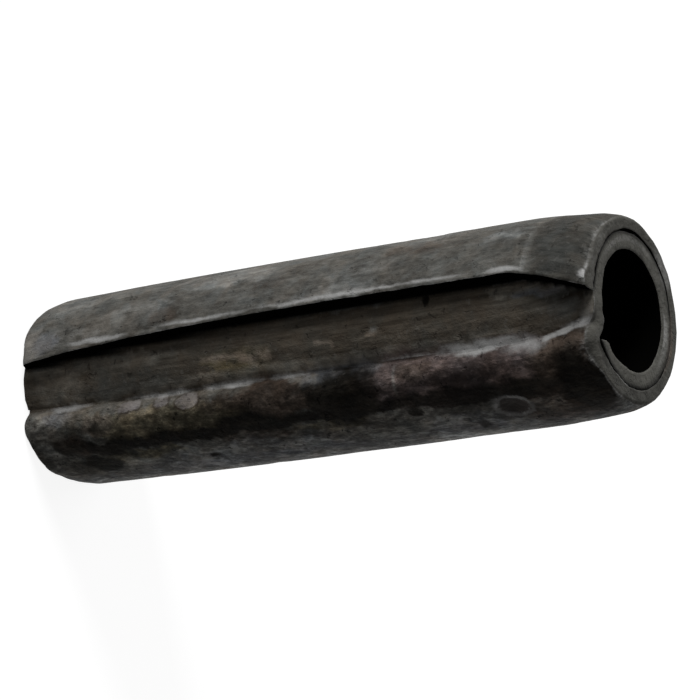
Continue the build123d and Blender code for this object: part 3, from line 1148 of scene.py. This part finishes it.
def steel_material(finish):
    """Dark oxide with mottling, streaks, stains, pits and worn edges, and the painted shadow under the outer
    lip.
    """
    material, tree, shader = new_material("Oxidised spring steel")
    place = Field(tree.nodes.new("ShaderNodeTexCoord").outputs["Object"])
    x, y, z = parts_of(place)
    across, along, _ = parts_of(attribute(tree, "strip", "Vector"))
    layer = attribute(tree, "layer")

    mottle = mottle_group()
    thin_oxide = mottle.use(tree, Place=place, Contrast=4.6, Seed=1.0)
    streak = streak_group().use(tree, Across=across, Along=along, Contrast=3.0)
    specks = speck_group()
    pits = specks.use(tree, Place=place, Scale=2300.0, Rarity=0.62, Seed=2.0)
    flecks = specks.use(tree, Place=place, Scale=2900.0, Rarity=0.60, Seed=7.0)
    ragged = ragged_group()

    # The oxide, browner in the seam.
    oxide = mix_colour(finish.oxide_dark, finish.oxide_light, thin_oxide)
    umber = mix_colour(finish.umber_dark, finish.umber_light, thin_oxide * 0.45 + streak * 0.55)
    colour = mix_colour(umber, oxide, layer)

    # Stains.
    stain = attribute(tree, "stain", "Color")
    strength = attribute(tree, "stain", "Alpha")
    stain_colour = scale_vector(stain, 1.0 / most(strength, 0.01))
    stained = ragged.use(tree, Mask=strength, Place=place, Breakup=0.55, Softness=0.34)
    stain_colour = scale_vector(stain_colour, thin_oxide * 0.9 + 0.55)
    colour = mix_colour(colour, stain_colour, stained * STAIN_COVER)

    # Streaks, pits and flecks. The oxide is a rough crust on the side towards +X.
    crust = ramp(x, 2.4 * MM, 4.2 * MM) * layer
    scale_off = mottle.use(tree, Place=place, Contrast=7.0, Seed=60.0) - 0.5
    colour = scale_vector(colour, 2.5 ** (scale_off * crust * 2))
    drift = noise(place, 700.0, 3.0, 0.6, 71.0, 0.5)
    warmth = mix_colour((0.96, 1.0, 1.03), (1.06, 1.0, 0.95), unit((drift - 0.5) * 3.5 + 0.5))
    colour = vector_math("MULTIPLY", colour, 1, warmth)
    colour = scale_vector(colour, streak * 0.6 + 0.7)
    colour = scale_vector(colour, 1.0 - pits * (crust * 0.4 + 0.35))
    colour = mix_colour(colour, finish.oxide_light, flecks * (1.0 - crust) * 0.25)

    # Sheared ends, then the painted shadow under the outer lip, then edges worn bare, most of all beside the
    # seam. The rubbed places among them are partly painted highlights.
    sheared_share = (thin_oxide * 0.8 + 0.2) * (1.0 - layer * 0.35)
    sheared_colour = mix_colour(finish.oxide_dark, finish.sheared_steel, sheared_share)
    sheared = ragged.use(tree, Mask=attribute(tree, "sheared"), Place=place, Breakup=0.2, Softness=0.4)
    colour = mix_colour(colour, sheared_colour, sheared)
    colour = mix_colour(colour, stain_colour, stained * sheared * END_STAIN_COVER)
    lip_shadow = attribute(tree, "lip_shadow")
    colour = mix_colour(colour, finish.painted_shade, lip_shadow)
    seam_side = ramp(x * cos(SEAM_AZIMUTH) + y * sin(SEAM_AZIMUTH), 0.0, 3.4 * MM)
    edges = attribute(tree, "worn") * (thin_oxide * 0.7 + 0.05) * mix(0.35, 1.0, seam_side)
    rubbed = attribute(tree, "rubbed") * 1.15
    bare = ragged.use(tree, Mask=most(edges, rubbed), Place=place, Breakup=0.45, Softness=0.4)
    bare = bare * (1.0 - lip_shadow)
    colour = mix_colour(colour, finish.bare_steel, bare)

    # Flakes, and the round dent's painted shade and highlight.
    flake = flake_group()
    azimuth = y.math("ARCTAN2", x)
    for height, middle, half_height, half_width, ragged_by, face_colour, rim_colour in FLAKES:
        beside = (azimuth - radians(middle)) * (FRAME_RADIUS / (half_width * MM))
        above = (z - height * MM) * (1 / (half_height * MM))
        face, rim = flake.use(tree, Across=beside, Along=above, Place=place, Stray=ragged_by)
        face, rim = face * layer, rim * layer
        colour = mix_colour(colour, rim_colour, rim * 0.9)
        colour = mix_colour(colour, face_colour, face * (thin_oxide * 0.75 + 0.2))
        bare = bare * (1.0 - rim) * (1.0 - face)

    grain = noise(place, 3000.0, 5.0, 0.7, 51.0) * 0.08 * MM
    swell = thin_oxide * 0.03 * MM + streak * 0.02 * MM + scale_off * crust * 0.03 * MM
    bumps = {"Height": grain + swell - pits * 0.04 * MM, "Strength": 1.0, "Distance": 1.0}
    relief = add_node(tree, "ShaderNodeBump", bumps)
    roughness = mix(thin_oxide * 0.12 + STEEL_ROUGHNESS, STEEL_ROUGHNESS, bare)
    feed_all(shader, {"Base Color": colour, "Metallic": bare * BARE_METALLIC, "Roughness": roughness})
    feed_all(shader, {"Specular IOR Level": STEEL_SPECULAR, "Normal": Field(relief.outputs["Normal"])})
    return material


def shade_material(finish):
    """Matt black painted shade for the bore, the strip's cut edges and what lies between the layers."""
    material, _, shader = new_material("Painted shade")
    feed_all(shader, {"Base Color": (*finish.painted_shade, 1), "Roughness": 1.0, "Specular IOR Level": 0.0})
    return material


# ---- The stage ----

CENTRE = Vector((0, 0, FRAME_LENGTH / 2))
FLOOR_RADIUS = 1.2
FLOOR_CORNERS = 96
FLOOR_GLOW = 0.88
LAMP_DISTANCE = 0.5

# Sizes of the lamps, and the ways to them: to the near side, up in the picture and along the pin.
KEY_SIZE = 0.18
KEY_DIRECTION = (0.2, 0.92, 0.36)
RIM_SIZE = 0.4
RIM_DIRECTION = (-0.8, 0.3, 0.5)

# How far the camera is moved off the pin's centre, to the right and up.
CAMERA_ASIDE = 0.664 * MM
CAMERA_ABOVE = 0.216 * MM


def camera_axes(settings):
    """Directions to the near side of the pin, up in the picture and along the pin."""
    near = Vector((cos(settings.azimuth), sin(settings.azimuth), 0))
    along = Vector((0, 0, 1))
    picture_up = along.cross(near) * -1
    return near, picture_up, along


def set_camera(settings):
    near, across, along = camera_axes(settings)
    back = along * sin(settings.tip) + near * cos(settings.tip)
    level = along * cos(settings.tip) - near * sin(settings.tip)
    right = level * cos(settings.roll) - across * sin(settings.roll)
    up = level * sin(settings.roll) + across * cos(settings.roll)
    place = CENTRE + back * settings.distance + right * CAMERA_ASIDE + up * CAMERA_ABOVE
    camera = bpy.data.cameras.new("Camera")
    camera.lens = settings.lens
    camera.sensor_width = 36
    camera.clip_start = 0.01
    seat = add_object("Camera", camera)
    seat.matrix_world = Matrix.Translation(place) @ Matrix((right, up, back)).transposed().to_4x4()
    bpy.context.scene.camera = seat


def add_lamp(name, settings, shares, strength, size):
    """A square soft lamp. A white surface facing it at the pin's centre gets the strength given."""
    light = bpy.data.lights.new(name, "AREA")
    light.size = size
    light.energy = strength * (pi * LAMP_DISTANCE) ** 2
    direction = Vector()
    for axis, share in zip(camera_axes(settings), shares):
        direction += axis * share
    lamp = add_object(name, light)
    lamp.location = CENTRE + direction.normalized() * LAMP_DISTANCE
    lamp.rotation_euler = (CENTRE - lamp.location).to_track_quat("-Z", "Y").to_euler()


def bright_to_viewer(tree, strength):
    """Emission that only the camera and clear reflections see."""
    path = tree.nodes.new("ShaderNodeLightPath")
    seen = Field(path.outputs["Is Camera Ray"])
    seen = most(seen, Field(path.outputs["Is Glossy Ray"]))
    seen = most(seen, Field(path.outputs["Is Transmission Ray"]))
    return seen * strength


def set_floor(settings):
    mesh = bpy.data.meshes.new("floor")
    turns = [2 * pi * corner / FLOOR_CORNERS for corner in range(FLOOR_CORNERS)]
    ring = [(FLOOR_RADIUS * cos(turn), FLOOR_RADIUS * sin(turn), 0) for turn in turns]
    mesh.from_pydata(ring, [], [range(FLOOR_CORNERS)])
    material, tree, shader = new_material("Pale floor")
    feed_all(shader, {"Base Color": (*settings.floor, 1), "Roughness": 0.9, "Specular IOR Level": 0.0})
    glow = bright_to_viewer(tree, FLOOR_GLOW)
    feed_all(shader, {"Emission Color": (1, 1, 1, 1), "Emission Strength": glow})
    mesh.materials.append(material)
    add_object("floor", mesh)


def set_world(settings):
    world = bpy.data.worlds.new("Even light")
    world.use_nodes = True
    tree = world.node_tree
    level = bright_to_viewer(tree, 1 - settings.world_strength) + settings.world_strength
    feed_all(tree.nodes["Background"], {"Color": (1, 1, 1, 1), "Strength": level})
    bpy.context.scene.world = world


# ---- Operators, panel and registration ----


class COILEDPIN_OT_roll(bpy.types.Operator):
    """Roll the strip into the coiled pin and give it its finish"""

    bl_idname = "coiledpin.roll"
    bl_label = "Roll Coiled Pin"

    def execute(self, context):
        coil = context.scene.coil_sizes
        finish = context.scene.coil_finish
        mesh = rolled_mesh(coil, steel_material(finish), shade_material(finish))
        mesh.name = "rolled_strip"
        skin = Skin(mesh)
        paint_marks(skin)
        press_dents(skin)
        pin = add_object("rolled_strip", mesh)
        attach(pin, "root")
        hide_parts(NODE)
        return {"FINISHED"}


class COILEDPIN_OT_stage(bpy.types.Operator):
    """Lay the floor, hang the lamps and place the camera"""

    bl_idname = "coiledpin.stage"
    bl_label = "Set Stage"

    def execute(self, context):
        settings = context.scene.stage_settings
        set_floor(settings)
        set_world(settings)
        add_lamp("Key", settings, KEY_DIRECTION, settings.key_strength, KEY_SIZE)
        add_lamp("Rim", settings, RIM_DIRECTION, settings.rim_strength, RIM_SIZE)
        set_camera(settings)
        context.scene.view_settings.view_transform = "Standard"
        return {"FINISHED"}


class COILEDPIN_PT_panel(bpy.types.Panel):
    """Lists what the add-on makes, with its sizes and colours"""

    bl_idname = "COILEDPIN_PT_panel"
    bl_label = "Coiled Pin"
    bl_space_type = "VIEW_3D"
    bl_region_type = "UI"
    bl_category = "Coiled Pin"

    def draw(self, context):
        for group, operator in (
            (context.scene.coil_sizes, "coiledpin.roll"),
            (context.scene.coil_finish, None),
            (context.scene.stage_settings, "coiledpin.stage"),
        ):
            box = self.layout.box()
            for name in group.__annotations__:
                box.prop(group, name)
            if operator:
                box.operator(operator)


CLASSES = (
    CoilSizes,
    CoilFinish,
    StageSettings,
    COILEDPIN_OT_roll,
    COILEDPIN_OT_stage,
    COILEDPIN_PT_panel,
)


def register():
    for each in CLASSES:
        bpy.utils.register_class(each)
    bpy.types.Scene.coil_sizes = bpy.props.PointerProperty(type=CoilSizes)
    bpy.types.Scene.coil_finish = bpy.props.PointerProperty(type=CoilFinish)
    bpy.types.Scene.stage_settings = bpy.props.PointerProperty(type=StageSettings)


def unregister():
    del bpy.types.Scene.stage_settings
    del bpy.types.Scene.coil_finish
    del bpy.types.Scene.coil_sizes
    for each in reversed(CLASSES):
        bpy.utils.unregister_class(each)


def main():
    register()
    bpy.ops.coiledpin.stage()
    bpy.ops.coiledpin.roll()


if __name__ == "__main__":
    main()
